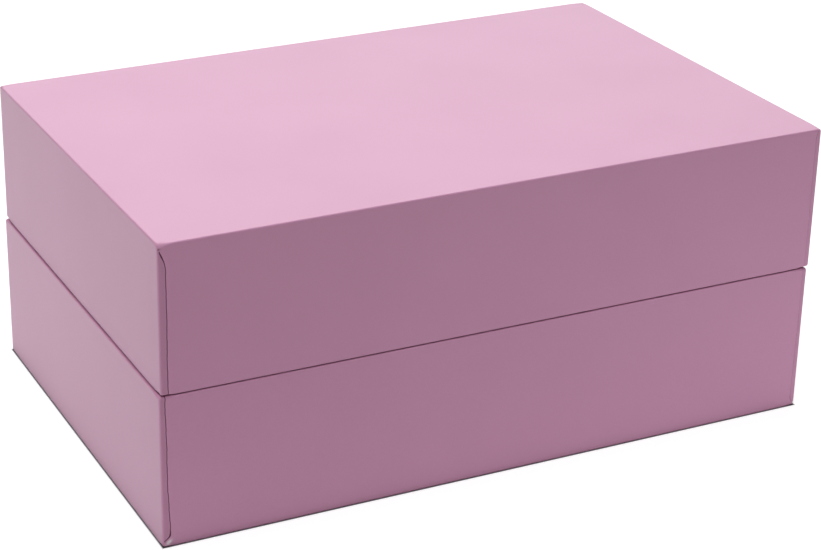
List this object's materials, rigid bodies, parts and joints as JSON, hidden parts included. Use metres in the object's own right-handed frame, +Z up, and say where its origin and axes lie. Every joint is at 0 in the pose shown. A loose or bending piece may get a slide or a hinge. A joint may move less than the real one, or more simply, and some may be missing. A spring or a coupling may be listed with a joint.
{
  "type": "bobbin box",
  "caption": "Rigid paper-covered box for bobbins: a lift-off lid guided by a raised neck, meeting the base in a flush seam, with a grid of slotted strips that parts the base into cells.",
  "frame": {"origin": "on the surface the box stands on, under the middle of the base", "axes": "+X along the box's length, +Y across it towards the back, +Z up, the way the lid lifts"},
  "size_m": [0.2306, 0.1501, 0.1],
  "materials": {
    "cover_paper": "satin",
    "greyboard": "matte",
    "stay_tape": "matte",
    "lining_paper": "matte",
    "lining_card": "matte",
    "grid_board": "matte"
  },
  "bodies": {
    "base": {"base_board": "greyboard", "base_liner": "lining_card", "base_stay_back_left": "stay_tape", "base_stay_back_right": "stay_tape", "base_stay_front_left": "stay_tape", "base_stay_front_right": "stay_tape", "base_wrap": "cover_paper", "long_strip_1": "grid_board", "long_strip_2": "grid_board", "long_strip_3": "grid_board", "neck_back": "greyboard", "neck_front": "greyboard", "neck_left": "greyboard", "neck_right": "greyboard", "neck_wrap": "cover_paper", "short_strip_1": "grid_board", "short_strip_2": "grid_board", "short_strip_3": "grid_board", "short_strip_4": "grid_board", "short_strip_5": "grid_board", "short_strip_6": "grid_board"},
    "lid": {"lid_board": "greyboard", "lid_liner": "lining_paper", "lid_stay_back_left": "stay_tape", "lid_stay_back_right": "stay_tape", "lid_stay_front_left": "stay_tape", "lid_stay_front_right": "stay_tape", "lid_wrap": "cover_paper"}
  },
  "joints": [
    {"name": "lid_lift", "type": "slide", "parent": "base", "child": "lid", "axis": [0, 0, 1], "range_m": [0, 0.12]}
  ]
}
